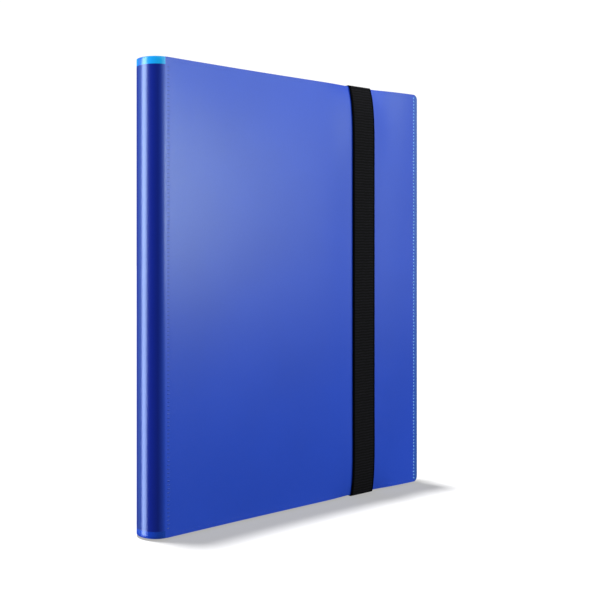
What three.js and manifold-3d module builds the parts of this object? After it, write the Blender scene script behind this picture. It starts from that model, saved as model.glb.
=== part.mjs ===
// Side-loading nine-pocket card binder, standing upright and closed.
// Units are millimetres, +Z is up. The spine is at -X, the fore-edge at +X,
// the front cover faces -Y and the back cover faces +Y.
import * as THREE from 'three';
import { mergeVertices } from 'three/addons/utils/BufferGeometryUtils.js';
import Module from 'manifold-3d';

const wasm = await Module();
wasm.setup();

// ---------------------------------------------------------------- dimensions
// Covers and spine
const COVER_H = 312;          // height of covers and spine
const COVER_W = 240;          // fold line to fore-edge
const THICK = 27;             // closed thickness over both covers
const SPINE_BULGE = 11;       // how far the rounded spine stands out from the folds
const SPINE_WALL = 1.0;       // spine shell thickness
const SHEET_T = 0.8;          // outer cover sheet
const LINER_T = 0.4;          // inner cover sheet
const CORNER_R = 4;           // rounded fore-edge corners
const LINER_INSET = 2.5;      // liner edge to cover edge
const FOLD_GAP = 0.3;         // half of the clearance left at each fold

// Elastic strap
const STRAP_W = 23;
const STRAP_T = 1.2;
const STRAP_X = 179.5;        // strap centre, from the fold line
const STRAP_GAP = 0.2;        // clearance between strap and cover
const WRAP_LEG = 7;           // how far the wrapped ends turn down the front
const END_T = 0.36;           // strap end pressed flat between the cover sheets
const END_LEN = 15;

// Leaves
const LEAVES = 20;
const LEAF_PITCH = 1.2;
const LEAF_H = 302;
const LEAF_EDGE = 232;        // fore-edge of the closed leaves, from the fold line
const CORE_T = 0.3;           // opaque centre sheet
const FILM_T = 0.3;           // clear pocket film on each side
const SKIN_GAP = 0.02;        // film to core
const FIRST_AXIS_X = 2.0;     // root axis of the outermost leaf of each half
const ROOT_GAP = 0.3;         // root axis to leaf

// Pockets, three columns of three
const COLUMNS = 3;
const ROWS = 3;
const POCKET_PITCH_X = 70;
const POCKET_PITCH_Z = 97.5;
const POCKET_X0 = 17;
const POCKET_W = 67;          // from the slit to the weld
const POCKET_H = 94.5;
const POCKET_DEPTH = 0.16;
const SLIT_W = 1.2;

// Binding block that holds the leaf roots
const BINDING_H = 302;

// Height of the cover's lower edge: the strap passes under it
const Z0 = STRAP_T + STRAP_GAP;
const Z1 = Z0 + COVER_H;
const HALF = THICK / 2;
const FACE_IN = HALF - SHEET_T - LINER_T;

// The origin is the middle of the footprint, at the base
const SHIFT_X = (SPINE_BULGE - COVER_W) / 2;
const SHIFT_Y = (STRAP_T + STRAP_GAP) / 2;

// ------------------------------------------------------------------ helpers
const mat = (color, roughness, metalness = 0) =>
  new THREE.MeshStandardMaterial({ color, roughness, metalness });

const polygon = (points) => {
  const s = new THREE.Shape();
  points.forEach(([a, b], i) => (i ? s.lineTo(a, b) : s.moveTo(a, b)));
  s.closePath();
  return s;
};

const extrude = (shape, depth, curveSegments = 6) =>
  new THREE.ExtrudeGeometry(shape, { depth, bevelEnabled: false, curveSegments, steps: 1 });

// Shape in X, Y, raised along Z
const alongZ = (shape, z0, z1) => extrude(shape, z1 - z0).translate(0, 0, z0);

// Shape in X, Z, given thickness along Y
const alongY = (shape, y0, y1) => {
  const g = extrude(shape, y1 - y0);
  g.applyMatrix4(new THREE.Matrix4().makeBasis(
    new THREE.Vector3(1, 0, 0), new THREE.Vector3(0, 0, 1), new THREE.Vector3(0, -1, 0)));
  return g.translate(0, y1, 0);
};

// Shape in Y, Z, given width along X
const alongX = (shape, x0, x1) => {
  const g = extrude(shape, x1 - x0);
  g.applyMatrix4(new THREE.Matrix4().makeBasis(
    new THREE.Vector3(0, 1, 0), new THREE.Vector3(0, 0, 1), new THREE.Vector3(1, 0, 0)));
  return g.translate(x0, 0, 0);
};

const block = (x0, x1, y0, y1, z0, z1) =>
  new THREE.BoxGeometry(x1 - x0, y1 - y0, z1 - z0)
    .translate((x0 + x1) / 2, (y0 + y1) / 2, (z0 + z1) / 2);

const solid = (geometry) => {
  const g = geometry.clone();
  g.deleteAttribute('normal');
  g.deleteAttribute('uv');
  const m = mergeVertices(g, 1e-5);
  return new wasm.Manifold(new wasm.Mesh({
    numProp: 3,
    vertProperties: new Float32Array(m.attributes.position.array),
    triVerts: new Uint32Array(m.index.array),
  }));
};

const surface = (manifold) => {
  const m = manifold.getMesh();
  const g = new THREE.BufferGeometry();
  g.setAttribute('position', new THREE.BufferAttribute(new Float32Array(m.vertProperties), 3));
  g.setIndex(new THREE.BufferAttribute(new Uint32Array(m.triVerts), 1));
  g.computeVertexNormals();
  return g;
};

const cut = (geometry, cutters) => {
  let tool = solid(cutters[0]);
  for (const c of cutters.slice(1)) tool = tool.add(solid(c));
  return surface(solid(geometry).subtract(tool));
};

const binder = new THREE.Group();
const closed = new THREE.Group();
closed.position.set(SHIFT_X, SHIFT_Y, 0);
binder.add(closed);

const piece = (name, geometry, material) => {
  const m = new THREE.Mesh(geometry, material);
  m.name = name;
  closed.add(m);
  return m;
};

// -------------------------------------------------------------------- spine
// A shell of half-oval section joins the covers.
const arc = (ax, ay, xEnd, n) => {
  const end = Math.acos(-xEnd / ax);
  const pts = [];
  for (let i = 0; i <= n; i++) {
    const t = -end + (2 * end * i) / n;
    pts.push([-ax * Math.cos(t), ay * Math.sin(t)]);
  }
  return pts;
};

const spineOuter = arc(SPINE_BULGE, HALF, -FOLD_GAP, 24);
const spineInner = arc(SPINE_BULGE - SPINE_WALL, HALF - SPINE_WALL, -FOLD_GAP, 24).reverse();
piece('spine_cover', alongZ(polygon([...spineOuter, ...spineInner]), Z0, Z1),
  mat(0x14389c, 0.32));

// The binding fills the spine and steps forward to the middle, so that each
// leaf has its own root line and both halves lie flat when the binder is open.
const rootLine = FIRST_AXIS_X - 0.7 + HALF - SHEET_T - LINER_T - 0.9; // x + |y| on the tent
const tentTip = 0.6;
const tentFoot = 11.7;
const bindingBack = arc(SPINE_BULGE - SPINE_WALL - 0.3, HALF - SPINE_WALL - 0.3, -2, 16);
const ZB = Z0 + (COVER_H - BINDING_H) / 2;
piece('spine_binding', alongZ(polygon([
  ...bindingBack,
  [rootLine - tentFoot, tentFoot],
  [rootLine - tentTip, tentTip],
  [rootLine - tentTip, -tentTip],
  [rootLine - tentFoot, -tentFoot],
]), ZB, ZB + BINDING_H), mat(0x0b0b0e, 0.6));

// ------------------------------------------------------------------- covers
const panel = (x0, x1, z0, z1, r) => {
  const s = new THREE.Shape();
  s.moveTo(x0, z0);
  s.lineTo(x1 - r, z0);
  s.absarc(x1 - r, z0 + r, r, -Math.PI / 2, 0, false);
  s.lineTo(x1, z1 - r);
  s.absarc(x1 - r, z1 - r, r, 0, Math.PI / 2, false);
  s.lineTo(x0, z1);
  s.closePath();
  return s;
};
const sheetShape = () => panel(FOLD_GAP, COVER_W, Z0, Z1, CORNER_R);
const linerShape = () => panel(FOLD_GAP + 1, COVER_W - LINER_INSET,
  Z0 + LINER_INSET, Z1 - LINER_INSET, CORNER_R - 1.5);

const blue = () => mat(0x2347c2, 0.35);
const innerBlue = () => mat(0x1c3aa0, 0.4);

piece('front_cover_sheet', alongY(sheetShape(), -HALF, -HALF + SHEET_T), blue());
piece('front_cover_liner', alongY(linerShape(), -HALF + SHEET_T, -FACE_IN), innerBlue());

// The back cover's outer sheet has a shallow seat at each end of the strap.
const seatX0 = STRAP_X - STRAP_W / 2 - 0.3;
const seatX1 = STRAP_X + STRAP_W / 2 + 0.3;
const seatY0 = HALF - SHEET_T - 1;
const seatY1 = HALF - SHEET_T + END_T + 0.04;
piece('back_cover_sheet', cut(alongY(sheetShape(), HALF - SHEET_T, HALF), [
  block(seatX0, seatX1, seatY0, seatY1, Z1 - END_LEN - 0.6, Z1 + 2),
  block(seatX0, seatX1, seatY0, seatY1, Z0 - 2, Z0 + END_LEN + 0.6),
]), blue());
piece('back_cover_liner', alongY(linerShape(), FACE_IN, HALF - SHEET_T), innerBlue());

// -------------------------------------------------------------------- strap
const strapX0 = STRAP_X - STRAP_W / 2;
const strapX1 = STRAP_X + STRAP_W / 2;
const elastic = () => mat(0x141417, 0.85);
const endY0 = HALF - SHEET_T + 0.02;
const endY1 = HALF - SHEET_T + END_T;

// Flat ends held between the two sheets of the back cover
piece('strap_end_top', block(strapX0, strapX1, endY0, endY1, Z1 - END_LEN, Z1), elastic());
piece('strap_end_bottom', block(strapX0, strapX1, endY0, endY1, Z0, Z0 + END_LEN), elastic());

// Each wrapped end turns over the cover edges and down the front
const faceIn = -HALF - STRAP_GAP;
const faceOut = faceIn - STRAP_T;
const wrap = (zIn, dir) => {
  const zOut = zIn + dir * STRAP_T;
  const leg = zIn - dir * WRAP_LEG;
  const r = STRAP_T + 0.8;
  const s = new THREE.Shape();
  const pts = [[endY1, zIn], [faceIn, zIn], [faceIn, leg], [faceOut, leg]];
  const n = 5;
  for (let i = 0; i <= n; i++) {
    const a = (Math.PI / 2) * (i / n);
    pts.push([faceOut + r - r * Math.cos(a), zOut - dir * (r - r * Math.sin(a))]);
  }
  for (let i = 0; i <= n; i++) {
    const a = (Math.PI / 2) * (i / n);
    pts.push([endY1 - 1.0 + Math.sin(a), zOut - dir * (1.0 - Math.cos(a))]);
  }
  if (dir > 0) pts.reverse();
  pts.forEach(([a, b], i) => (i ? s.lineTo(a, b) : s.moveTo(a, b)));
  s.closePath();
  return s;
};
const zTop = Z1 + STRAP_GAP;
const zBottom = Z0 - STRAP_GAP;
piece('strap_top_wrap', alongX(wrap(zTop, 1), strapX0, strapX1), elastic());
piece('strap_bottom_wrap', alongX(wrap(zBottom, -1), strapX0, strapX1), elastic());
piece('strap_band', block(strapX0, strapX1, faceOut, faceIn,
  zBottom + WRAP_LEG + 0.2, zTop - WRAP_LEG - 0.2), elastic());

// ------------------------------------------------------------------- leaves
// Leaf 1 lies against the front cover and leaf 20 against the back cover.
// Each leaf is an opaque sheet inside a clear film, folded round its fore-edge
// and welded into pockets that open towards the spine.
const ZL = Z0 + (COVER_H - LEAF_H) / 2;
const firstY = -FACE_IN + 0.9;
const pocketZ0 = ZL + (LEAF_H - ROWS * POCKET_PITCH_Z) / 2 + (POCKET_PITCH_Z - POCKET_H) / 2;

const pocketCutters = (y, side) => {
  const inner = y + side * (CORE_T / 2);
  const floor = y + side * (CORE_T / 2 + SKIN_GAP + POCKET_DEPTH);
  const outer = y + side * (CORE_T / 2 + SKIN_GAP + FILM_T + 0.5);
  const cutters = [];
  for (let c = 0; c < COLUMNS; c++) {
    const x0 = POCKET_X0 + 1 + c * POCKET_PITCH_X;
    const top = pocketZ0 + (ROWS - 1) * POCKET_PITCH_Z + POCKET_H;
    cutters.push(block(x0, x0 + SLIT_W, Math.min(inner, outer), Math.max(inner, outer),
      pocketZ0, top));
    for (let r = 0; r < ROWS; r++) {
      const z0 = pocketZ0 + r * POCKET_PITCH_Z;
      cutters.push(block(x0 + SLIT_W / 2, x0 + POCKET_W, Math.min(inner, floor),
        Math.max(inner, floor), z0, z0 + POCKET_H));
    }
  }
  return cutters;
};

for (let k = 1; k <= LEAVES; k++) {
  const y = firstY + (k - 1) * LEAF_PITCH;
  const step = k <= LEAVES / 2 ? k - 1 : LEAVES - k;
  const x0 = FIRST_AXIS_X + step * LEAF_PITCH + ROOT_GAP;
  const name = 'leaf_' + String(k).padStart(2, '0');
  const half = CORE_T / 2;
  const a = half + SKIN_GAP;
  const b = a + FILM_T;
  piece(name + '_core', block(x0, LEAF_EDGE - FILM_T - SKIN_GAP, y - half, y + half,
    ZL, ZL + LEAF_H), mat(0x0d0d10, 0.55));
  const folded = alongZ(polygon([
    [x0, y - b], [LEAF_EDGE, y - b], [LEAF_EDGE, y + b], [x0, y + b],
    [x0, y + a], [LEAF_EDGE - FILM_T, y + a], [LEAF_EDGE - FILM_T, y - a], [x0, y - a],
  ]), ZL, ZL + LEAF_H);
  piece(name + '_pockets',
    cut(folded, [...pocketCutters(y, -1), ...pocketCutters(y, 1)]), mat(0xaab4c8, 0.15));
}

export default binder;
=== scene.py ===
import math

import bmesh
import bpy
import numpy as np
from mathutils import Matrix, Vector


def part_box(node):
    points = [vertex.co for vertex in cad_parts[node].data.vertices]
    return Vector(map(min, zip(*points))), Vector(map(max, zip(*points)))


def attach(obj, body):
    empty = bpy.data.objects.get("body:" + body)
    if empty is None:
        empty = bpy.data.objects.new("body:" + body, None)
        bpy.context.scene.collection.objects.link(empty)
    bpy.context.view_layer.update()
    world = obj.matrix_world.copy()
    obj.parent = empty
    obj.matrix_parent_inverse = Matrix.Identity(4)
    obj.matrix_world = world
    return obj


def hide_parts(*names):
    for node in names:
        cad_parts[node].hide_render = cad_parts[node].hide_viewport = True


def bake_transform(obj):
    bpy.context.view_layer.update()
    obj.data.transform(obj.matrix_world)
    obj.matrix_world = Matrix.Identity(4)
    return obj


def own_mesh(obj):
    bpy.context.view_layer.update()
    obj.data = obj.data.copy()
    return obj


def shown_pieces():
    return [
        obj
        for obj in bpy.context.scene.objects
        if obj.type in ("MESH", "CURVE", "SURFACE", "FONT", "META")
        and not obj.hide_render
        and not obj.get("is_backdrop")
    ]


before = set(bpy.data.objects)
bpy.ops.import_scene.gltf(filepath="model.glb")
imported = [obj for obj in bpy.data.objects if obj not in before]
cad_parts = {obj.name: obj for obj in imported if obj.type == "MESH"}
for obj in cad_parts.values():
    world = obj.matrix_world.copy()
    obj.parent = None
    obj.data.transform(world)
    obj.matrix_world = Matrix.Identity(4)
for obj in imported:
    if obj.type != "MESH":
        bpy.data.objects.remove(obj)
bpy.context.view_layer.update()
scene = bpy.context.scene
scene.view_settings.view_transform = "Standard"
scene.view_settings.look = "None"

# ------------------------------------------------------------------ the frame
# Shapes below are worked out in millimetres in the fold frame: x from the fold
# lines to the fore-edge, y from the middle plane between the covers, z up.


def mm(node):
    lo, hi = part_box(node)
    return np.array(lo) * 1000, np.array(hi) * 1000


front_lo, front_hi = mm("front_cover_sheet")
back_lo, back_hi = mm("back_cover_sheet")
spine_lo, spine_hi = mm("spine_cover")
FOLD_X = front_lo[0] - 0.3
MID_Y = (front_lo[1] + back_hi[1]) / 2
HALF = (back_hi[1] - front_lo[1]) / 2
WIDTH = front_hi[0] - FOLD_X
Z0, Z1 = front_lo[2], front_hi[2]
BULGE = FOLD_X - spine_lo[0]
SHEET = 0.8
band_lo, band_hi = mm("strap_band")
STRAP_X = (band_lo[0] + band_hi[0]) / 2 - FOLD_X
STRAP_W = band_hi[0] - band_lo[0]
STRAP_T = 1.2
leaf_lo, leaf_hi = mm("leaf_01_core")
LEAF_Z0, LEAF_Z1 = leaf_lo[2], leaf_hi[2]
LEAVES = 20


def row(co):
    co = np.asarray(co, float)
    return (co + np.array([FOLD_X, MID_Y, 0.0])) / 1000.0


def point(x, y, z):
    return tuple(float(v) for v in row((x, y, z)))


# The strap pinches the binder at its top and bottom edges. squeeze() is how far,
# in millimetres, the outer faces of both covers are drawn in at a place.
BROAD = np.array([(0, 0), (2, 0), (12, 0.5), (20, 1.0), (37, 1.65), (60, 2.6), (80, 3.1), (98, 3.4),
                  (125, 3.6), (150, 3.6), (165, 3.5), (194, 3.45), (204, 2.6), (212, 1.8),
                  (220, 0.9), (228, 0.25), (234, 0), (400, 0)], float)
_grid = np.arange(-30, 420, 0.5)
_kernel = np.exp(-np.linspace(-2.2, 2.2, 21) ** 2)
_kernel /= _kernel.sum()
_broad = np.convolve(np.pad(np.interp(_grid, BROAD[:, 0], BROAD[:, 1]), 10, mode="edge"), _kernel, mode="valid")


def squeeze(x, z):
    x, z = np.asarray(x, float), np.clip(np.asarray(z, float), Z0, Z1)
    off = np.maximum(np.abs(x - STRAP_X) - (STRAP_W / 2 + 1.0), 0)
    near = np.exp(-(off / 13.0) ** 2)
    wide = np.interp(x, _grid, _broad)
    top, low = Z1 - z, z - Z0
    reach = 34.0 - 16.0 * near
    d = wide * (np.exp(-(top / reach) ** 1.3) + 0.42 * np.exp(-(low / reach) ** 1.3))
    d = d + near * (1.8 * np.exp(-top / 7.0) + 1.5 * np.exp(-low / 8.0))
    trough = np.exp(-(off / 17.0) ** 2)
    return d + 0.6 * trough * np.clip(np.minimum(top, low) / 60.0, 0, 1)


def share(x, z):
    return 1.0 - squeeze(x, z) / HALF


LAG = [0.0]     # how far behind x the pinch is read; the leaves slide past the covers as they open


def pinched(co):
    co = np.array(co, float)
    co[:, 1] *= share(co[:, 0] - LAG[0], co[:, 2])
    return co


# -------------------------------------------------------------------- helpers
def new_object(name, co, faces, materials, index=None, pinch=True, sharp=38.0, weighted=False):
    co = np.asarray(co, float)
    if pinch:
        co = pinched(co)
    mesh = bpy.data.meshes.new(name)
    mesh.from_pydata([tuple(p) for p in row(co)], [], [tuple(f) for f in faces])
    for m in materials:
        mesh.materials.append(m)
    if index is not None:
        mesh.polygons.foreach_set("material_index", np.asarray(index, np.int32))
    return finish_mesh(name, mesh, sharp, weighted)


def finish_mesh(name, mesh, sharp=38.0, weighted=False):
    bm = bmesh.new()
    bm.from_mesh(mesh)
    bmesh.ops.recalc_face_normals(bm, faces=bm.faces)
    bm.to_mesh(mesh)
    bm.free()
    mesh.polygons.foreach_set("use_smooth", np.ones(len(mesh.polygons), bool))
    mesh.set_sharp_from_angle(angle=math.radians(sharp))
    mesh.update()
    obj = bpy.data.objects.new(name, mesh)
    scene.collection.objects.link(obj)
    if weighted:
        m = obj.modifiers.new("normals", "WEIGHTED_NORMAL")
        m.keep_sharp = True
        m.weight = 80
    return obj


def rounded_outline(x0, x1, z0, z1, r, steps=10):
    pts = [(x0, z0)]
    for i in range(steps + 1):
        a = -math.pi / 2 + (math.pi / 2) * i / steps
        pts.append((x1 - r + r * math.cos(a), z0 + r + r * math.sin(a)))
    for i in range(steps + 1):
        a = (math.pi / 2) * i / steps
        pts.append((x1 - r + r * math.cos(a), z1 - r + r * math.sin(a)))
    pts.append((x0, z1))
    return pts


def cut_grid(outline, xs, zs):
    """The outline as flat faces, cut along the given x and z lines."""
    bm = bmesh.new()
    bm.faces.new([bm.verts.new((x, 0, z)) for x, z in outline])
    for values, no in ((xs, (1, 0, 0)), (zs, (0, 0, 1))):
        for v in values:
            bmesh.ops.bisect_plane(bm, geom=bm.verts[:] + bm.edges[:] + bm.faces[:], dist=1e-4,
                                   plane_co=(v * no[0], 0, v * no[2]), plane_no=no)
    bm.verts.ensure_lookup_table()
    bm.verts.index_update()
    co = np.array([v.co for v in bm.verts], float)
    faces = [[v.index for v in f.verts] for f in bm.faces]
    rim = []
    for e in bm.edges:
        if len(e.link_faces) == 1:
            loop = next(l for l in e.link_loops)
            rim.append((loop.vert.index, loop.link_loop_next.vert.index))
    bm.free()
    return co, faces, rim


def slab(name, outline, xs, zs, y_a, y_b, materials, bevel=0.2, keep_sharp_x=None, shape=None,
         rim_material=None, weighted=True):
    """A closed sheet between y_a and y_b. shape(co, side) may move either layer.
    Edges on the line x = keep_sharp_x stay square, where another piece carries on."""
    co, faces, rim = cut_grid(outline, xs, zs)
    n = len(co)
    a, b = co.copy(), co.copy()
    a[:, 1], b[:, 1] = y_a, y_b
    if shape is not None:
        a, b = shape(a, 0), shape(b, 1)
    bm = bmesh.new()
    vs = [bm.verts.new(p) for p in np.vstack([a, b])]
    for f in faces:
        bm.faces.new([vs[i] for i in f])
        bm.faces.new([vs[i + n] for i in reversed(f)])
    edges = []
    for i, j in rim:
        f = bm.faces.new([vs[j], vs[i], vs[i + n], vs[j + n]])
        f.material_index = 1 if rim_material is not None else 0
        seam = keep_sharp_x is not None and abs(co[i][0] - keep_sharp_x) < 1e-3 and abs(co[j][0] - keep_sharp_x) < 1e-3
        if not seam:
            edges.append((vs[i], vs[j]))
            edges.append((vs[i + n], vs[j + n]))
    bm.edges.ensure_lookup_table()
    if bevel:
        chosen = [e for e in (bm.edges.get(p) for p in edges) if e is not None]
        bmesh.ops.bevel(bm, geom=chosen, offset=bevel, segments=2, profile=0.5, affect="EDGES",
                        clamp_overlap=True, material=1 if rim_material is not None else -1)
    for v in bm.verts:
        y = v.co.y * float(share(v.co.x, v.co.z))
        p = row((v.co.x, y, v.co.z))
        v.co = p
    mesh = bpy.data.meshes.new(name)
    bm.to_mesh(mesh)
    bm.free()
    for m in materials:
        mesh.materials.append(m)
    if rim_material is not None:
        mesh.materials.append(rim_material)
    return finish_mesh(name, mesh, 38.0, weighted)


def lines(a, b, step, dense_at=(), dense=0.6):
    vals = set(np.round(np.arange(a + step, b - step * 0.4, step), 4))
    for d in dense_at:
        vals.add(round(d, 4))
    return sorted(v for v in vals if a + 0.05 < v < b - 0.05)


def merge_parts(parts):
    """Joins (co, faces) pairs into one."""
    co, faces, off = [], [], 0
    for c, f in parts:
        co.append(np.asarray(c, float))
        faces.extend([[i + off for i in g] for g in f])
        off += len(c)
    return np.vstack(co), faces


# ------------------------------------------------------------------ materials
class Nodes:
    def __init__(self, name):
        self.mat = bpy.data.materials.new(name)
        self.mat.use_nodes = True
        self.nt = self.mat.node_tree
        self.bsdf = next(n for n in self.nt.nodes if n.type == "BSDF_PRINCIPLED")
        self.out = next(n for n in self.nt.nodes if n.type == "OUTPUT_MATERIAL")
        self.tc = self.nt.nodes.new("ShaderNodeTexCoord")

    def node(self, kind, **values):
        n = self.nt.nodes.new(kind)
        for k, v in values.items():
            setattr(n, k, v)
        return n

    def link(self, a, b):
        self.nt.links.new(a, b)

    def set(self, **values):
        for k, v in values.items():
            self.bsdf.inputs[k.replace("_", " ")].default_value = v

    def coords(self, scale=(1, 1, 1)):
        m = self.node("ShaderNodeMapping")
        m.inputs["Scale"].default_value = scale
        self.link(self.tc.outputs["Object"], m.inputs["Vector"])
        return m.outputs["Vector"]

    def noise(self, scale, detail=2.0, rough=0.5, vector=None, distortion=0.0):
        n = self.node("ShaderNodeTexNoise")
        n.inputs["Scale"].default_value = scale
        n.inputs["Detail"].default_value = detail
        n.inputs["Roughness"].default_value = rough
        n.inputs["Distortion"].default_value = distortion
        self.link(vector or self.tc.outputs["Object"], n.inputs["Vector"])
        return n.outputs["Fac"]

    def math(self, op, a, b=None, clamp=False):
        n = self.node("ShaderNodeMath", operation=op, use_clamp=clamp)
        for i, v in enumerate((a, b)):
            if v is None:
                continue
            if isinstance(v, (int, float)):
                n.inputs[i].default_value = v
            else:
                self.link(v, n.inputs[i])
        return n.outputs[0]

    def ramp(self, fac, stops, interpolation="LINEAR"):
        n = self.node("ShaderNodeValToRGB")
        n.color_ramp.interpolation = interpolation
        els = n.color_ramp.elements
        while len(els) > 1:
            els.remove(els[-1])
        for i, (pos, col) in enumerate(stops):
            e = els[0] if i == 0 else els.new(pos)
            e.position = pos
            e.color = tuple(col) + ((1.0,) if len(col) == 3 else ())
        self.link(fac, n.inputs["Fac"])
        return n.outputs["Color"]

    def remap(self, value, a, b, c, d):
        n = self.node("ShaderNodeMapRange")
        n.inputs["From Min"].default_value = a
        n.inputs["From Max"].default_value = b
        n.inputs["To Min"].default_value = c
        n.inputs["To Max"].default_value = d
        self.link(value, n.inputs["Value"])
        return n.outputs["Result"]

    def mix(self, fac, a, b, blend="MIX"):
        n = self.node("ShaderNodeMix", data_type="RGBA", blend_type=blend)
        if isinstance(fac, (int, float)):
            n.inputs[0].default_value = fac
        else:
            self.link(fac, n.inputs[0])
        for socket, v in ((n.inputs[6], a), (n.inputs[7], b)):
            if isinstance(v, (tuple, list)):
                socket.default_value = tuple(v) + ((1.0,) if len(v) == 3 else ())
            else:
                self.link(v, socket)
        return n.outputs[2]

    def axis(self, letter):
        if not hasattr(self, "_xyz"):
            self._xyz = self.node("ShaderNodeSeparateXYZ")
            self.link(self.tc.outputs["Object"], self._xyz.inputs[0])
        return self._xyz.outputs[letter]

    def bump(self, height, distance, strength=1.0, normal=None):
        n = self.node("ShaderNodeBump")
        n.inputs["Strength"].default_value = strength
        n.inputs["Distance"].default_value = distance
        self.link(height, n.inputs["Height"])
        if normal is not None:
            self.link(normal, n.inputs["Normal"])
        return n.outputs["Normal"]


def scaled(c, k):
    return tuple(min(1.0, v * k) for v in c)


def cover_plastic(name, base, rough=0.30, edge=None, emission=None, grain=1.0, toward_fold=None, crown=None):
    """Frosted translucent polypropylene: fine grain, slow cloudy variation."""
    m = Nodes(name)
    cloud = m.noise(14.0, 2.0, 0.5)
    speck = m.noise(700.0, 1.0, 0.5)
    tone = m.math("ADD", m.math("MULTIPLY", cloud, 0.78), m.math("MULTIPLY", speck, 0.22))
    col = m.ramp(tone, [(0.32, scaled(base, 0.95)), (0.5, base), (0.68, scaled(base, 1.05))])
    if toward_fold is not None:
        # nearer the fold the binding lies further behind the sheet, so it shows through less
        near = m.remap(m.axis("X"), (FOLD_X - 5.0) / 1000, (FOLD_X + 0.4) / 1000, 0, 1)
        col = m.mix(near, col, toward_fold)
    if crown is not None:
        # along the crown of the spine the binding lies close behind the sheet, so the painted backlight of the end
        # band is weaker there: bluer colour and a dimmer painted glow
        off_crown = m.remap(m.axis("X"), (FOLD_X - 10.95) / 1000, (FOLD_X - 10.2) / 1000, 0, 1)
        col = m.mix(off_crown, crown[0], col)
        m.link(m.mix(off_crown, crown[1], emission[0]), m.bsdf.inputs["Emission Color"])
    if edge is not None:
        # the outermost millimetres are a single welded layer, a little clearer; their lighter colour is also painted
        # backlight coming through them
        far = m.remap(m.axis("X"), (FOLD_X + WIDTH - 3.4) / 1000, (FOLD_X + WIDTH - 2.4) / 1000, 0, 1)
        col = m.mix(far, col, edge)
    m.link(col, m.bsdf.inputs["Base Color"])
    r = m.remap(m.noise(300.0, 1.0, 0.5), 0.3, 0.7, rough - 0.02 * grain, rough + 0.02 * grain)
    m.link(r, m.bsdf.inputs["Roughness"])
    fine = m.noise(2600.0, 2.0, 0.7)
    soft = m.noise(850.0, 1.0, 0.5)
    h = m.math("ADD", m.math("MULTIPLY", fine, 0.5), soft)
    m.link(m.bump(h, 0.000020, 0.5 * grain), m.bsdf.inputs["Normal"])
    m.set(IOR=1.5)
    if emission is not None:
        m.set(Emission_Color=tuple(emission[0]) + (1.0,), Emission_Strength=emission[1])
    return m.mat


def fabric(name, base, spec=0.09, groove_shade=0.25):
    """Woven elastic: ribs across the strap, with painted shade darkening the grooves between them."""
    m = Nodes(name)
    warp = m.noise(1.0, 2.0, 0.5, m.coords((2600.0, 2600.0, 500.0)))
    weft = m.noise(1.0, 2.0, 0.6, m.coords((420.0, 420.0, 3000.0)))
    tone = m.math("MULTIPLY", m.math("ADD", warp, weft), 0.5)
    col = m.ramp(tone, [(0.36, scaled(base, 0.65)), (0.5, base), (0.64, scaled(base, 1.7))])
    rib = m.node("ShaderNodeAttribute", attribute_name="rib", attribute_type="GEOMETRY").outputs["Fac"]
    # painted shade: the grooves between the ribs are darkened
    col = m.mix(rib, scaled(base, groove_shade), col)
    m.link(col, m.bsdf.inputs["Base Color"])
    m.link(m.remap(weft, 0.3, 0.7, 0.70, 0.92), m.bsdf.inputs["Roughness"])
    m.link(m.bump(tone, 0.00010, 0.6), m.bsdf.inputs["Normal"])
    m.set(IOR=1.45, Specular_IOR_Level=spec)
    return m.mat


def black_sheet(name, base, rough=0.5, emboss=900.0):
    """Black polypropylene with a fine linen emboss."""
    m = Nodes(name)
    wx = m.node("ShaderNodeTexWave", wave_type="BANDS", bands_direction="X", wave_profile="SIN")
    wz = m.node("ShaderNodeTexWave", wave_type="BANDS", bands_direction="Z", wave_profile="SIN")
    for w in (wx, wz):
        w.inputs["Scale"].default_value = emboss / 2.0
        w.inputs["Distortion"].default_value = 1.2
        w.inputs["Detail"].default_value = 1.0
        m.link(m.tc.outputs["Object"], w.inputs["Vector"])
    cloth = m.math("MULTIPLY", wx.outputs["Fac"], wz.outputs["Fac"])
    cloud = m.noise(60.0, 3.0, 0.6)
    col = m.ramp(cloud, [(0.3, scaled(base, 0.7)), (0.5, base), (0.7, scaled(base, 1.5))])
    m.link(col, m.bsdf.inputs["Base Color"])
    m.link(m.remap(m.noise(700.0, 2.0), 0.3, 0.7, rough - 0.06, rough + 0.06), m.bsdf.inputs["Roughness"])
    m.link(m.bump(cloth, 0.00005, 0.5), m.bsdf.inputs["Normal"])
    m.set(IOR=1.48)
    return m.mat


def clear_film(name, base=0.040, solid=(0.20, 0.80)):
    """Thin clear polypropylene film: mostly see-through, glossy, with faint haze and scuffs."""
    m = Nodes(name)
    haze = m.noise(30.0, 2.0, 0.5)
    tint = (base, base * 1.04, base * 1.16)
    m.link(m.ramp(haze, [(0.35, scaled(tint, 0.75)), (0.65, scaled(tint, 1.25))]), m.bsdf.inputs["Base Color"])
    m.link(m.remap(m.noise(60.0, 2.0, 0.5), 0.3, 0.7, 0.08, 0.14), m.bsdf.inputs["Roughness"])
    m.link(m.bump(m.noise(40.0, 1.0, 0.5), 0.00022, 0.22), m.bsdf.inputs["Normal"])
    m.set(IOR=1.49, Specular_IOR_Level=0.9)
    clear = m.node("ShaderNodeBsdfTransparent")
    clear.inputs["Color"].default_value = (0.97, 0.975, 0.985, 1)
    fres = m.node("ShaderNodeLayerWeight")
    fres.inputs["Blend"].default_value = 0.35
    solid = m.remap(fres.outputs["Facing"], 0.0, 1.0, solid[0], solid[1])
    mixer = m.node("ShaderNodeMixShader")
    m.link(solid, mixer.inputs[0])
    m.link(clear.outputs[0], mixer.inputs[1])
    m.link(m.bsdf.outputs[0], mixer.inputs[2])
    m.link(mixer.outputs[0], m.out.inputs["Surface"])
    return m.mat


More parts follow.
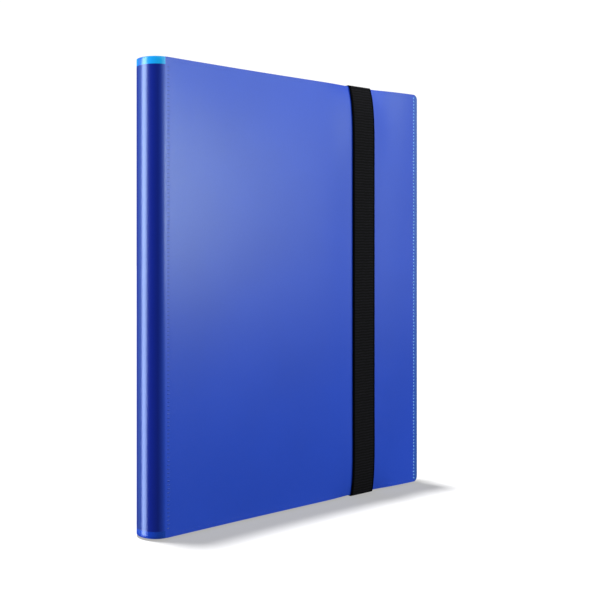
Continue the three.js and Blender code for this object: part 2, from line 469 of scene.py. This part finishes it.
BLUE = (0.018, 0.067, 0.635)
SPINE_BLUE = (0.002, 0.014, 0.238)
M_COVER = cover_plastic("cover_blue", BLUE, 0.30, edge=(0.026, 0.100, 0.500))
M_RIM = cover_plastic("cover_cut_edge", (0.030, 0.120, 0.440), 0.35)
M_LINER = cover_plastic("liner_navy", (0.014, 0.045, 0.330), 0.33)
M_SPINE = cover_plastic("spine_blue", SPINE_BLUE, 0.28, grain=0.25, toward_fold=BLUE)
# top end band: painted backlight, light through the clear end painted as bright cyan colour and an emission glow
M_SPINE_TOP = cover_plastic("spine_top_painted_backlight", (0.006, 0.240, 0.560), 0.25, emission=((0.004, 0.34, 0.78), 0.40), grain=0.25,
                            crown=((0.010, 0.110, 0.520), (0.020, 0.160, 0.780)))
# bottom end band: painted backlight, a lighter blue and a faint emission glow
M_SPINE_LOW = cover_plastic("spine_bottom_painted_backlight", (0.006, 0.048, 0.420), 0.27, emission=((0.002, 0.05, 0.5), 0.05), grain=0.25)
M_DOT = cover_plastic("weld_dot", (0.170, 0.360, 0.920), 0.22)
# fold dashes: darker than the cover, painted shade of the pressed recesses
M_DASH = cover_plastic("weld_dash_painted_shade", (0.014, 0.053, 0.500), 0.34)
M_STRAP = fabric("elastic_black", (0.0112, 0.0094, 0.0146), groove_shade=0.10)
# near-black painted shade along both edges of the strap
M_EDGE_SHADE = fabric("elastic_edge_painted_shade", (0.0012, 0.0011, 0.0034), spec=0.04)
M_CORE = black_sheet("leaf_black", (0.0105, 0.0105, 0.0120), 0.46)
M_BINDING = black_sheet("binding_black", (0.0100, 0.0100, 0.0120), 0.5, 500.0)
M_FILM = clear_film("pocket_film_clear")
M_WELD = clear_film("pocket_weld", base=0.085, solid=(0.45, 0.90))

# ---------------------------------------------------------------------- spine
# A half-oval shell. Its two ends stand clear of the binding inside, so light
# comes through them and they look brighter than the rest; that light is painted on as brighter end colours and a
# painted glow (emission).
T_END = math.acos(2.2 / BULGE)


def oval(t, inset=0.0):
    return (-(BULGE - inset) * math.cos(t), (HALF - inset) * math.sin(t))


def spine_shell():
    n = 64
    ts = [-T_END + 2 * T_END * i / n for i in range(n + 1)]
    wall = SHEET + 0.2
    lip = 0.28
    # rings from the outside bottom, up the outside, over the lip, down the inside
    rings = []
    zs = [Z0 + lip, Z0 + 2.5, Z0 + 4.6, Z0 + 5.0]
    zs += list(np.linspace(Z0 + 20, Z1 - 20, 10)) + [Z1 - 5.4, Z1 - 5.0, Z1 - 2.5, Z1 - lip]
    rings.append((lip, Z0))
    rings.append((lip * 0.3, Z0 + lip * 0.3))
    rings += [(0.0, z) for z in zs]
    rings.append((lip * 0.3, Z1 - lip * 0.3))
    rings.append((lip, Z1))
    rings.append((wall - lip, Z1))
    rings.append((wall - lip * 0.3, Z1 - lip * 0.3))
    rings += [(wall, z) for z in reversed(zs)]
    rings.append((wall - lip * 0.3, Z0 + lip * 0.3))
    rings.append((wall - lip, Z0))
    co, faces, index = [], [], []
    for inset, z in rings:
        for t in ts:
            x, y = oval(t, inset)
            co.append((x, y, z))
    m, r = n + 1, len(rings)
    for i in range(r):
        j = (i + 1) % r
        zmid = (rings[i][1] + rings[j][1]) / 2
        which = 1 if zmid > Z1 - 5.0 else (2 if zmid < Z0 + 4.8 else 0)
        for c in range(n):
            faces.append((i * m + c, i * m + c + 1, j * m + c + 1, j * m + c))
            index.append(which)
    for c in (0, n):
        loop = [i * m + c for i in range(r)]
        half = r // 2
        for i in range(half - 1):
            a, b = loop[i], loop[i + 1]
            d, e = loop[r - 1 - i], loop[r - 2 - i]
            quad = (a, b, e, d)
            zmid = (co[a][2] + co[b][2]) / 2
            faces.append(quad)
            index.append(1 if zmid > Z1 - 5.0 else (2 if zmid < Z0 + 4.8 else 0))
    return new_object("spine_shell", co, faces, [M_SPINE, M_SPINE_TOP, M_SPINE_LOW], index, pinch=False)


spine = spine_shell()
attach(spine, "spine")
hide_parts("spine_cover")


# Where each cover meets the spine, a strip of the same sheet curves from the spine into the cover.
FOLD_END = 0.9


def fold_strip(name, side):
    path = []
    for i in range(7):
        t = T_END + (math.pi / 2 - T_END) * i / 6
        path.append((oval(t), oval(t, SHEET + 0.2 * (1 - i / 6))))
    for i in range(1, 5):
        x = FOLD_END * i / 4
        path.append(((x, HALF), (x, HALF - SHEET)))
    zs = [Z0, Z0 + 0.28, Z0 + 4.8, Z0 + 40, Z0 + 156, Z1 - 40, Z1 - 5.0, Z1 - 0.28, Z1]
    co, faces, index = [], [], []
    n = len(path)
    for k, z in enumerate(zs):
        trim = 0.24 if k in (0, len(zs) - 1) else 0.0
        for (ox, oy), (ix, iy) in path:
            co.append((ox, side * (oy - trim), z))
        for (ox, oy), (ix, iy) in path:
            co.append((ix, side * (iy + trim), z))
    m = 2 * n
    for k in range(len(zs) - 1):
        zmid = (zs[k] + zs[k + 1]) / 2
        which = 1 if zmid > Z1 - 5.0 else (2 if zmid < Z0 + 4.8 else 0)
        a, b = k * m, (k + 1) * m
        for i in range(n - 1):
            here = which if path[i][0][0] < -0.45 else 3
            faces.append((a + i, a + i + 1, b + i + 1, b + i))
            index.append(here)
            faces.append((a + n + i + 1, a + n + i, b + n + i, b + n + i + 1))
            index.append(here)
        faces.append((a, b, b + n, a + n))
        index.append(which)
        faces.append((a + n - 1, a + m - 1, b + m - 1, b + n - 1))
        index.append(3)
    for k, which in ((0, 2), (len(zs) - 1, 1)):
        a = k * m
        for i in range(n - 1):
            faces.append((a + i, a + n + i, a + n + i + 1, a + i + 1))
            index.append(which)
    o = new_object(name, co, faces, [M_SPINE, M_SPINE_TOP, M_SPINE_LOW, M_COVER], index, pinch=False)
    point(-1.7, side * HALF, 150)
    point(0.6, side * HALF, 150)
    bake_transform(o)
    return o


fold_strip("front_fold_strip", -1)
fold_strip("back_fold_strip", 1)

# --------------------------------------------------------------------- covers
EDGE_IN = 4.0          # weld line inset from the fore-edge


def end_lines():
    up = [0.5, 1.2, 2.5, 4, 6, 8.5, 11, 14, 18, 22, 27, 33, 40, 48, 57, 67, 80]
    return [Z0 + d for d in up] + [Z1 - d for d in up] + list(np.arange(Z0 + 92, Z1 - 88, 13.5))


def cover_sheet(name, side, body, node):
    y_out, y_in = side * HALF, side * (HALF - SHEET)
    seat = (STRAP_X - STRAP_W / 2 - 0.4, STRAP_X + STRAP_W / 2 + 0.4)
    xs = [FOLD_END + 1.0] + list(np.arange(5, 236, 5.0)) + [WIDTH - 2.2, WIDTH - 1.2, WIDTH - 0.5]
    zs = end_lines()
    if side > 0:
        xs += [seat[0] - 0.5, seat[0], seat[1], seat[1] + 0.5]
        zs += [Z0 + 15.8, Z0 + 16.6, Z1 - 15.8, Z1 - 16.6]
    xs, zs = sorted(set(np.round(xs, 3))), sorted(set(np.round(zs, 3)))

    def shape(co, layer):
        if side > 0 and layer == 1:
            inx = (co[:, 0] > seat[0] - 0.01) & (co[:, 0] < seat[1] + 0.01)
            inz = (co[:, 2] > Z1 - 15.81) | (co[:, 2] < Z0 + 15.81)
            co[inx & inz, 1] = HALF - SHEET + 0.40
        return co

    o = slab(name, rounded_outline(FOLD_END, WIDTH, Z0, Z1, 4.0), xs, zs, y_out, y_in, [M_COVER],
             bevel=0.22, keep_sharp_x=FOLD_END, shape=shape, rim_material=M_RIM)
    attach(o, body)
    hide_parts(node)
    return o


def cover_liner(name, side, body, node):
    a, b = side * (HALF - SHEET - 0.02), side * (HALF - SHEET - 0.40)
    xs = list(np.arange(6, 234, 6.0)) + [WIDTH - 3.2, WIDTH - 4.0]
    zs = [z for z in end_lines() if Z0 + 3.0 < z < Z1 - 3.0]
    o = slab(name, rounded_outline(1.3, WIDTH - 2.5, Z0 + 2.5, Z1 - 2.5, 2.5, 6), xs, sorted(set(np.round(zs, 3))),
             a, b, [M_LINER], bevel=0.09)
    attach(o, body)
    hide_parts(node)
    return o


front_sheet = cover_sheet("front_cover_outer", -1, "front_cover", "front_cover_sheet")
back_sheet = cover_sheet("back_cover_outer", 1, "back_cover", "back_cover_sheet")
front_liner = cover_liner("front_cover_inner", -1, "front_cover", "front_cover_liner")
back_liner = cover_liner("back_cover_inner", 1, "back_cover", "back_cover_liner")


# Weld marks: small pressed dots along the fore-edge, top and bottom, and short
# dashes along the fold.
def lens(x, z, y, side, w, h, rise, n=12):
    """A low dome standing on the outer face, w wide in x and h high in z."""
    co, faces = [], []
    for f, lift in ((1.0, -0.05), (0.93, rise * 0.45), (0.62, rise * 0.9)):
        for i in range(n):
            a = 2 * math.pi * i / n
            co.append((x + f * w / 2 * math.cos(a), y + side * lift, z + f * h / 2 * math.sin(a)))
    co.append((x, y + side * rise, z))
    for r in range(2):
        for i in range(n):
            j = (i + 1) % n
            faces.append((r * n + i, r * n + j, (r + 1) * n + j, (r + 1) * n + i))
    for i in range(n):
        faces.append((2 * n + i, 2 * n + (i + 1) % n, 3 * n))
    faces.append(tuple(range(n)))
    return co, faces


def weld_dots(name, side, body):
    x1 = WIDTH - EDGE_IN
    za, zb = Z0 + 3.0, Z1 - 3.0
    n = int(round((zb - za) / 2.54))
    places = [(x1, za + (zb - za) * i / n) for i in range(n + 1)]
    parts = [lens(x, z, side * HALF, side, 1.6, 1.6, 0.15) for x, z in places]
    co, faces = merge_parts(parts)
    o = new_object(name, co, faces, [M_DOT], sharp=60)
    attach(o, body)
    # a fainter row along the top and bottom edges
    parts = []
    x = x1 - 5.1
    while x > 6:
        if abs(x - STRAP_X) > STRAP_W / 2 + 1.5:
            for z in (Z0 + 2.4, Z1 - 2.4):
                parts.append(lens(x, z, side * HALF, side, 1.3, 0.7, 0.06, 8))
        x -= 2.56
    co, faces = merge_parts(parts)
    e = new_object(name.replace("dots", "edge_marks"), co, faces, [M_COVER], sharp=60)
    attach(e, body)
    # the dashed weld beside the fold, coloured darker with painted shade of the pressed recesses
    parts = []
    z = Z0 + 6.0
    while z < Z1 - 6:
        parts.append(lens(2.05, z, side * HALF, side, 2.3, 0.9, 0.035, 10))
        z += 2.56
    co, faces = merge_parts(parts)
    d = new_object(name.replace("dots", "fold_marks"), co, faces, [M_DASH], sharp=60)
    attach(d, body)


weld_dots("front_weld_dots", -1, "front_cover")
weld_dots("back_weld_dots", 1, "back_cover")


# --------------------------------------------------------------------- binding
def binding():
    """The welded root block: one layer per leaf, inside a thin black wrap."""
    parts = []
    lo, hi = LEAF_Z0, LEAF_Z1
    for k in range(1, LEAVES + 1):
        y = -(HALF - 1.2) + 0.9 + (k - 1) * 1.2
        step = k - 1 if k <= 10 else 20 - k
        x1 = 2.0 + step * 1.2 - 0.62
        half = 0.52
        yo = max(abs(y - half), abs(y + half))
        x0 = -9.2 * math.sqrt(max(0.02, 1 - (yo / 12.0) ** 2))
        jitter = 0.25 * math.sin(k * 2.3)
        z0, z1 = lo + 0.3 + abs(jitter), hi - 0.3 - abs(jitter)
        c = 0.16
        prof = [(x0, -half + c), (x0 + c, -half), (x1 - c, -half), (x1, -half + c),
                (x1, half - c), (x1 - c, half), (x0 + c, half), (x0, half - c)]
        co, faces = [], []
        for z, s in ((z0, 0.12), (z0 + 0.12, 0.0), (z1 - 0.12, 0.0), (z1, 0.12)):
            for px, py in prof:
                cx, cy = (x0 + x1) / 2, 0
                sx = 1 - s / ((x1 - x0) / 2)
                sy = 1 - s / half
                co.append((cx + (px - cx) * sx, y + (py - cy) * sy, z))
        n = len(prof)
        for r in range(3):
            for i in range(n):
                j = (i + 1) % n
                faces.append((r * n + i, r * n + j, (r + 1) * n + j, (r + 1) * n + i))
        faces.append(tuple(reversed(range(n))))
        faces.append(tuple(range(3 * n, 4 * n)))
        parts.append((co, faces))
    # the wrap against the spine
    n = 40
    ts = [-1.36 + 2.72 * i / n for i in range(n + 1)]
    co, faces = [], []
    for z in (lo, hi):
        for r in (0.0, 0.45):
            for t in ts:
                co.append((-(9.7 - r) * math.cos(t), (12.2 - r) * math.sin(t), z))
    m = n + 1
    for i in range(n):
        faces.append((i, i + 1, 2 * m + i + 1, 2 * m + i))
        faces.append((m + i + 1, m + i, 3 * m + i, 3 * m + i + 1))
        faces.append((i, m + i, m + i + 1, i + 1))
        faces.append((2 * m + i, 2 * m + i + 1, 3 * m + i + 1, 3 * m + i))
    faces.append((0, 2 * m, 3 * m, m))
    faces.append((n, m + n, 3 * m + n, 2 * m + n))
    parts.append((co, faces))
    co, faces = merge_parts(parts)
    o = new_object("binding_roots", co, faces, [M_BINDING], pinch=False, sharp=40)
    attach(o, "spine")
    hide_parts("spine_binding")


binding()

# ---------------------------------------------------------------------- leaves
# Each leaf is a black sheet inside clear film: three columns of three pockets on
# both sides, welded along their top, bottom and fore-edge sides, and open
# towards the spine, where the film's free edge lifts a little.
POCKET_X = [18.0, 88.0, 158.0]
POCKET_Z = [12.65 + 97.5 * i for i in range(3)]
POCKET_H = 94.5


def bow(x, k):
    """How far leaf k bows to the back at x. Its root and its fore-edge stay in line."""
    step = k - 1 if k <= 10 else 20 - k
    xk = 2.0 + step * 1.2
    f = np.clip((np.asarray(x, float) - xk) / (231.6 - xk), 0, 1)
    return float(np.interp(k, [1, 10, 11, 20], [0.27, 1.24, 1.24, 0.0])) * np.sin(math.pi * f) ** 2


def bump_1d(v, a, b, soft_a, soft_b):
    up = np.clip((v - a) / soft_a, 0, 1) if soft_a else np.where(v >= a, 1.0, 0.0)
    dn = np.clip((b - v) / soft_b, 0, 1)
    up, dn = up * up * (3 - 2 * up), dn * dn * (3 - 2 * dn)
    return up * dn


def film_strip(y, side, x0, x1, last):
    xs = [x0, x0 + 0.35, x0 + 2, x0 + 6, x0 + 20, x0 + 34, x0 + 48, x0 + 60, x0 + 64, x0 + 66.6, x0 + 67.4]
    xs = [x for x in xs if x < x1 - 0.2] + [x1]
    zs = [LEAF_Z0 + 0.15, LEAF_Z0 + 2]
    for z in POCKET_Z:
        zs += [z, z + 1.2, z + 4, z + 9, z + 24, z + 47, z + 70, z + 85.5, z + 90.5, z + 93.3, z + POCKET_H]
        zs += [z - 0.95, z - 0.65, z - 0.35, z + POCKET_H + 0.35, z + POCKET_H + 0.65, z + POCKET_H + 0.95]
    zs += [LEAF_Z1 - 2, LEAF_Z1 - 0.15]
    if x1 - x0 > 68.8:
        xs = sorted(set(xs) | {x0 + 67.7, x0 + 68.0, x0 + 68.3})
    xs, zs = np.array(xs), np.array(sorted(set(np.round(zs, 3))))
    X, Z = np.meshgrid(xs, zs)
    rows = sum(bump_1d(Z, z, z + POCKET_H, 9, 9) for z in POCKET_Z)
    lift = 0.075 * bump_1d(X, x0, x0 + 67, 0.0, 7.0) * rows
    flat = 0.155 + np.where((X < x0 + 0.4), 0.03, 0.0) * rows
    inner = flat + lift
    bead = sum(np.exp(-((Z - z + 0.65) / 0.22) ** 2) + np.exp(-((Z - z - POCKET_H - 0.65) / 0.22) ** 2) for z in POCKET_Z)
    bead = np.clip(bead + np.exp(-((X - x0 - 68.0) / 0.22) ** 2) * (rows > 0), 0, 1)
    outer = inner + 0.11 + 0.02 * rows + 0.07 * bead
    nx, nz = len(xs), len(zs)
    co = []
    for h in (outer, inner):
        for j in range(nz):
            for i in range(nx):
                co.append((X[j, i], y + side * h[j, i], Z[j, i]))
    faces, flags = [], []
    off = nx * nz
    for j in range(nz - 1):
        for i in range(nx - 1):
            a = j * nx + i
            raised = int(bead[j:j + 2, i:i + 2].mean() > 0.4)
            faces.append((a, a + 1, a + nx + 1, a + nx))
            faces.append((off + a, off + a + nx, off + a + nx + 1, off + a + 1))
            flags += [raised, raised]
    for i in range(nx - 1):
        faces.append((i, off + i, off + i + 1, i + 1))
        a = (nz - 1) * nx + i
        faces.append((a, a + 1, off + a + 1, off + a))
    for j in range(nz - 1):
        a = j * nx
        faces.append((a, a + nx, off + a + nx, off + a))
        b = j * nx + nx - 1
        faces.append((b, off + b, off + b + nx, b + nx))
    return co, faces, flags + [0] * (len(faces) - len(flags))


LAG[0] = 2.4
for k in range(1, LEAVES + 1):
    y = -(HALF - 1.2) + 0.9 + (k - 1) * 1.2
    step = k - 1 if k <= 10 else 20 - k
    xk = 2.0 + step * 1.2
    tag = f"leaf_{k:02d}"
    wave = 0.35 * math.sin(k * 1.9)
    edge = 231.6 + wave * 0.6
    xs = [xk + 0.6] + [x for x in (14, 30, 50, 70, 90, 110, 130, 150, 165, 180, 194, 204, 212, 222) if x > xk + 2]
    zs = [LEAF_Z0 + d for d in (1, 3, 6, 10, 15, 22, 32, 45, 70)] + [LEAF_Z1 - d for d in (1, 3, 6, 10, 15, 22, 32, 45, 70)]
    zs += [LEAF_Z0 + 110, LEAF_Z0 + 150, LEAF_Z0 + 190]

    def leaf_shape(co, layer, k=k):
        co[:, 1] += bow(co[:, 0], k)
        return co

    core = slab(tag + "_sheet", rounded_outline(xk + 0.3, edge - 0.3, LEAF_Z0, LEAF_Z1, 1.2, 4), xs,
                sorted(set(np.round(zs, 3))), y - 0.15, y + 0.15, [M_CORE], bevel=0.05, shape=leaf_shape)
    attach(core, tag)
    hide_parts(tag + "_core")
    parts = []
    welds = []
    for side in (-1, 1):
        for c, x0 in enumerate(POCKET_X):
            x1 = x0 + 69.4 if c < 2 else edge
            co, faces, flags = film_strip(y, side, x0, x1, c == 2)
            parts.append((co, faces))
            welds += flags
    # the fold of the film round the fore-edge
    co, faces = [], []
    zs2 = [LEAF_Z0 + 0.15] + [LEAF_Z0 + d for d in (6, 15, 32, 70, 150, 230)] + [LEAF_Z1 - d for d in (32, 15, 6)] + [LEAF_Z1 - 0.15]
    zs2 = sorted(set(np.round(zs2, 3)))
    prof = []
    for i in range(7):
        a = -math.pi / 2 + math.pi * i / 6
        prof.append((edge + 0.27 * math.cos(a), 0.265 * math.sin(a)))
    for i in range(7):
        a = math.pi / 2 - math.pi * i / 6
        prof.append((edge + 0.15 * math.cos(a), 0.155 * math.sin(a)))
    m = len(prof)
    for z in zs2:
        for px, py in prof:
            co.append((px, y + py, z))
    for r in range(len(zs2) - 1):
        for i in range(m):
            j = (i + 1) % m
            faces.append((r * m + i, r * m + j, (r + 1) * m + j, (r + 1) * m + i))
    faces.append(tuple(reversed(range(m))))
    faces.append(tuple(range((len(zs2) - 1) * m, len(zs2) * m)))
    parts.append((co, faces))
    welds += [0] * len(faces)
    co, faces = merge_parts(parts)
    co[:, 1] += bow(co[:, 0], k)
    film = new_object(tag + "_film", co, faces, [M_FILM, M_WELD], welds, sharp=50)
    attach(film, tag)
    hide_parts(tag + "_pockets")
    # the root of the leaf, between the binding and the leaf
    co, faces = [], []
    xs3 = [xk - 0.66, xk - 0.4, xk - 0.15, xk, xk + 0.15, xk + 0.32]
    for x in xs3:
        for dy, z in ((-0.13, LEAF_Z0 + 0.6), (0.13, LEAF_Z0 + 0.6), (0.13, LEAF_Z1 - 0.6), (-0.13, LEAF_Z1 - 0.6)):
            co.append((x, y + dy, z))
    for r in range(len(xs3) - 1):
        for i in range(4):
            j = (i + 1) % 4
            faces.append((r * 4 + i, r * 4 + j, (r + 1) * 4 + j, (r + 1) * 4 + i))
    faces.append((3, 2, 1, 0))
    e = (len(xs3) - 1) * 4
    faces.append((e, e + 1, e + 2, e + 3))
    root = new_object(tag + "_root", co, faces, [M_CORE], sharp=50)
    point(xk - 0.5, y, 150)
    point(xk + 0.28, y, 150)
    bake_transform(root)


LAG[0] = 0.0

# ----------------------------------------------------------------------- strap
RIB = 2.1


def strap_section():
    """Points round the flat section, as (across, side, weight of the ribs, edge drop)."""
    w = STRAP_W / 2
    pts = []
    n = 34
    for i in range(n + 1):
        u = -w + 0.35 + (2 * w - 0.7) * i / n
        pts.append((u, 1.0))
    for i in range(1, 4):
        a = math.pi * i / 4
        pts.append((w - 0.35 + 0.35 * math.sin(a), math.cos(a)))
    m = 14
    for i in range(m + 1):
        u = w - 0.35 - (2 * w - 0.7) * i / m
        pts.append((u, -1.0))
    for i in range(1, 4):
        a = math.pi * i / 4
        pts.append((-w + 0.35 - 0.35 * math.sin(a), -math.cos(a)))
    return pts


def strap_sweep(name, path, thick, start_s=0.0):
    """path: (y, z) points in order; thick: thickness at each point."""
    path = np.array(path, float)
    thick = np.array(thick, float)
    seg = np.r_[0, np.cumsum(np.hypot(*np.diff(path, axis=0).T))]
    tan = np.gradient(path, axis=0)
    tan /= np.linalg.norm(tan, axis=1)[:, None]
    nor = np.c_[-tan[:, 1], tan[:, 0]]     # to the outside of the strap, for a path that runs up the front
    pts = strap_section()
    n = len(pts)
    co, faces, index, ribs = [], [], [], []
    w = STRAP_W / 2
    for i, (y, z) in enumerate(path):
        s = seg[i] + start_s
        for u, side in pts:
            inside = np.clip((w - 0.35 - abs(u)) / 1.0, 0, 1)
            cord = 0.5 + 0.5 * math.cos(2 * math.pi * u / 1.55)
            skew = 0.16 * math.sin(2 * math.pi * u / 9.0) + 0.08 * math.sin(u * 1.7)
            ph = (s + skew) / RIB
            rib = (0.5 + 0.5 * math.cos(2 * math.pi * ph)) ** 0.8
            h = thick[i] / 2 - 0.16 * inside * (1 - rib) * (0.75 + 0.25 * cord) - 0.04 * inside * (1 - cord)
            h -= 0.07 * (1 - inside)
            # rib weight per point; low values get the painted groove shade
            ribs.append(float(np.clip(rib * (0.72 + 0.28 * cord), 0, 1)))
            co.append((STRAP_X + u, y + nor[i, 0] * side * h, z + nor[i, 1] * side * h))
    for i in range(len(path) - 1):
        for c in range(n):
            d = (c + 1) % n
            faces.append((i * n + c, i * n + d, (i + 1) * n + d, (i + 1) * n + c))
            u = (pts[c][0] + pts[d][0]) / 2
            # faces along both strap edges get the painted edge shade
            index.append(1 if abs(u) > w - 1.6 else 0)
    faces.append(tuple(reversed(range(n))))
    index.append(0)
    last = (len(path) - 1) * n
    faces.append(tuple(range(last, last + n)))
    index.append(0)
    o = new_object(name, co, faces, [M_STRAP, M_EDGE_SHADE], index, pinch=False, sharp=55)
    o.data.attributes.new("rib", "FLOAT", "POINT").data.foreach_set("value", ribs)
    return o


def strap_y(z):
    return -(HALF * float(share(STRAP_X, z)) + 0.22 + STRAP_T / 2)


BAND_TOP, BAND_LOW = Z1 - 1.0, Z0 + 1.0
band_z = np.arange(BAND_LOW, BAND_TOP + 0.01, 0.42)
band_z = np.linspace(BAND_LOW, BAND_TOP, len(band_z))
band = strap_sweep("strap_band_woven", [(strap_y(z), z) for z in band_z], [STRAP_T] * len(band_z))
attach(band, "strap")
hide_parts("strap_band")


def turn(name, top, node):
    """The strap over the top edge, or under the bottom edge, and into the back cover."""
    d = 1 if top else -1
    z_edge = Z1 if top else Z0
    clear = 0.50 if top else 0.75
    z_mid = z_edge + d * clear
    y_a = strap_y(z_edge)
    y_b = (HALF - SHEET + 0.20) * float(share(STRAP_X, z_edge))
    r = 1.2
    path, thick = [], []
    z_start = BAND_TOP if top else BAND_LOW
    path.append((strap_y(z_start), z_start))
    path.append(((strap_y(z_start) + y_a) / 2, (z_start + z_mid - d * r) / 2))
    for i in range(9):
        a = (math.pi / 2) * i / 8
        path.append((y_a + r - r * math.cos(a), z_mid - d * (r - r * math.sin(a))))
    span = np.arange(y_a + r + 0.42, y_b - 1.3, 0.42)
    for y in span:
        sag = 0.04 * math.sin(math.pi * (y - y_a) / (y_b - y_a))
        path.append((y, z_mid - d * sag))
    rb = clear - 0.04
    for i in range(7):
        a = (math.pi / 2) * i / 6
        path.append((y_b - rb + rb * math.sin(a), z_mid - d * (rb - rb * math.cos(a))))
    path = np.array(path)
    for y, z in path:
        g = np.clip((y - y_a) / 2.0, 0, 1)
        f = np.clip((y - (y_b - 4.5)) / 4.0, 0, 1)
        thick.append((STRAP_T - 0.38 * g) * (1 - f) + 0.42 * f)
    start = (BAND_TOP - BAND_LOW) if top else 0.0
    if not top:
        # drawn from the front the other way, so the path still runs up the front
        path, thick = path[::-1], thick[::-1]
        length = float(np.hypot(*np.diff(path, axis=0).T).sum())
        start = -length
    o = strap_sweep(name, path, thick, start)
    point(STRAP_X, strap_y(z_start), z_start)
    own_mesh(o)
    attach(o, "strap")
    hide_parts(node)
    return o


turn("strap_top_turn", True, "strap_top_wrap")
turn("strap_bottom_turn", False, "strap_bottom_wrap")

for name, node, za, zb in (("strap_tail_top", "strap_end_top", Z1 - 15, Z1 - 0.15),
                           ("strap_tail_bottom", "strap_end_bottom", Z0 + 0.15, Z0 + 15)):
    w = STRAP_W / 2
    outline = [(STRAP_X - w, za), (STRAP_X + w, za), (STRAP_X + w, zb), (STRAP_X - w, zb)]
    o = slab(name, outline, list(np.arange(STRAP_X - w + 2, STRAP_X + w - 1, 3.0)), list(np.arange(za + 1.5, zb - 1, 1.5)),
             HALF - SHEET + 0.03, HALF - SHEET + 0.36, [M_STRAP], bevel=0.08)
    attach(o, "back_cover")
    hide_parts(node)


# --------------------------------------------------------------- floor, lights
def floor():
    mesh = bpy.data.meshes.new("floor")
    s = 9.0
    mesh.from_pydata([(-s, -s, 0), (s, -s, 0), (s, s, 0), (-s, s, 0)], [], [(0, 1, 2, 3)])
    m = Nodes("floor_white")
    speck = m.noise(9.0, 2.0, 0.5)
    m.link(m.ramp(speck, [(0.3, (0.25, 0.25, 0.25)), (0.7, (0.26, 0.26, 0.26))]), m.bsdf.inputs["Base Color"])
    m.set(Roughness=0.9, Specular_IOR_Level=0.0, Emission_Color=(1, 1, 1, 1), Emission_Strength=0.43)
    mesh.materials.append(m.mat)
    o = bpy.data.objects.new("floor", mesh)
    scene.collection.objects.link(o)
    o.visible_glossy = False
    o.visible_diffuse = False
    o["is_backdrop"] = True
    return o


ground = floor()

world = bpy.data.worlds.new("studio")
scene.world = world
world.use_nodes = True
wn = world.node_tree
bg = next(n for n in wn.nodes if n.type == "BACKGROUND")
wout = next(n for n in wn.nodes if n.type == "OUTPUT_WORLD")
bg.inputs["Color"].default_value = (0.95, 0.97, 1.0, 1)
bg.inputs["Strength"].default_value = 0.10
seen = wn.nodes.new("ShaderNodeBackground")
seen.inputs["Color"].default_value = (1, 1, 1, 1)
seen.inputs["Strength"].default_value = 1.05
path_node = wn.nodes.new("ShaderNodeLightPath")
mixw = wn.nodes.new("ShaderNodeMixShader")
wn.links.new(path_node.outputs["Is Camera Ray"], mixw.inputs[0])
wn.links.new(bg.outputs[0], mixw.inputs[1])
wn.links.new(seen.outputs[0], mixw.inputs[2])
wn.links.new(mixw.outputs[0], wout.inputs["Surface"])

on_floor = bpy.data.collections.new("lit_floor")
on_floor.objects.link(ground)
on_part = bpy.data.collections.new("lit_part")
on_spine = bpy.data.collections.new("lit_spine")
on_covers = bpy.data.collections.new("lit_covers")


def aim(o, target):
    from mathutils import Vector
    d = Vector(target) - o.location
    o.rotation_euler = d.to_track_quat("-Z", "Y").to_euler()


def softbox(name, azimuth, elevation, distance, width, height, radiance, colour=(1, 1, 1), target=(0, 0, 0.16),
            lit=on_part):
    """azimuth is measured from straight in front (-Y) towards +X, in degrees."""
    a, e = math.radians(azimuth), math.radians(elevation)
    data = bpy.data.lights.new(name, "AREA")
    data.shape = "RECTANGLE"
    data.size, data.size_y = width, height
    data.energy = radiance * math.pi * width * height
    data.color = colour
    o = bpy.data.objects.new(name, data)
    scene.collection.objects.link(o)
    o.location = (target[0] + distance * math.cos(e) * math.sin(a),
                  target[1] - distance * math.cos(e) * math.cos(a),
                  target[2] + distance * math.sin(e))
    aim(o, target)
    o.visible_camera = False
    o.light_linking.receiver_collection = lit
    return o


softbox("key_front", 19, 27, 1.5, 1.36, 1.50, 1.5, (0.82, 1.0, 0.72))
softbox("sheen_front", 25.0, 6.5, 1.5, 0.34, 0.44, 9.6, (0.86, 1.0, 0.74))
softbox("upper_front", 0, 62, 1.5, 1.30, 0.90, 4.2, (0.94, 0.99, 0.95))
softbox("fill_right", 47, 17, 1.7, 0.75, 1.4, 0.95, (0.86, 1.0, 0.92))
softbox("strip_left", -116.5, 1, 1.2, 0.58, 1.35, 16.5, (0.56, 0.75, 1.0), lit=on_spine)
softbox("side_left", -150, 0, 1.2, 0.40, 1.1, 0.9, (0.45, 1.0, 0.35))
softbox("back_fill", 165, 27, 1.6, 1.3, 1.4, 4.0, (0.86, 1.0, 0.72), lit=on_covers)
softbox("cover_side", -117, 26, 1.6, 0.8, 1.3, 6.0, (0.86, 1.0, 0.72), lit=on_covers)
softbox("right_side", 95, 15, 1.7, 0.8, 1.4, 1.6)
softbox("top_box", 0, 88, 1.5, 1.2, 1.2, 1.6)

sun = bpy.data.lights.new("sun_floor", "SUN")
sun.energy = 9.5
sun.angle = math.radians(5.0)
sun_o = bpy.data.objects.new("sun_floor", sun)
scene.collection.objects.link(sun_o)
sun_o.location = (-0.05, 0.1, 1.5)
aim(sun_o, (-0.05 + 0.045 * 1.5, 0.1 - 0.106 * 1.5, 0.0))
sun_o.light_linking.receiver_collection = on_floor

# --------------------------------------------------------------------- camera
cam_data = bpy.data.cameras.new("camera")
cam_data.sensor_width = 36.0
cam_data.lens = 58.18
cam_data.shift_y = -0.08197
cam_data.clip_start = 0.02
cam_data.clip_end = 60
cam = bpy.data.objects.new("camera", cam_data)
scene.collection.objects.link(cam)
cam.location = (-0.45960, -0.54440, 0.18750)
cam.rotation_euler = (math.radians(90), 0, math.radians(-40.865))
scene.camera = cam

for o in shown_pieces():
    on_part.objects.link(o)
    (on_spine if o.name.startswith("spine") or "fold_strip" in o.name else on_covers).objects.link(o)
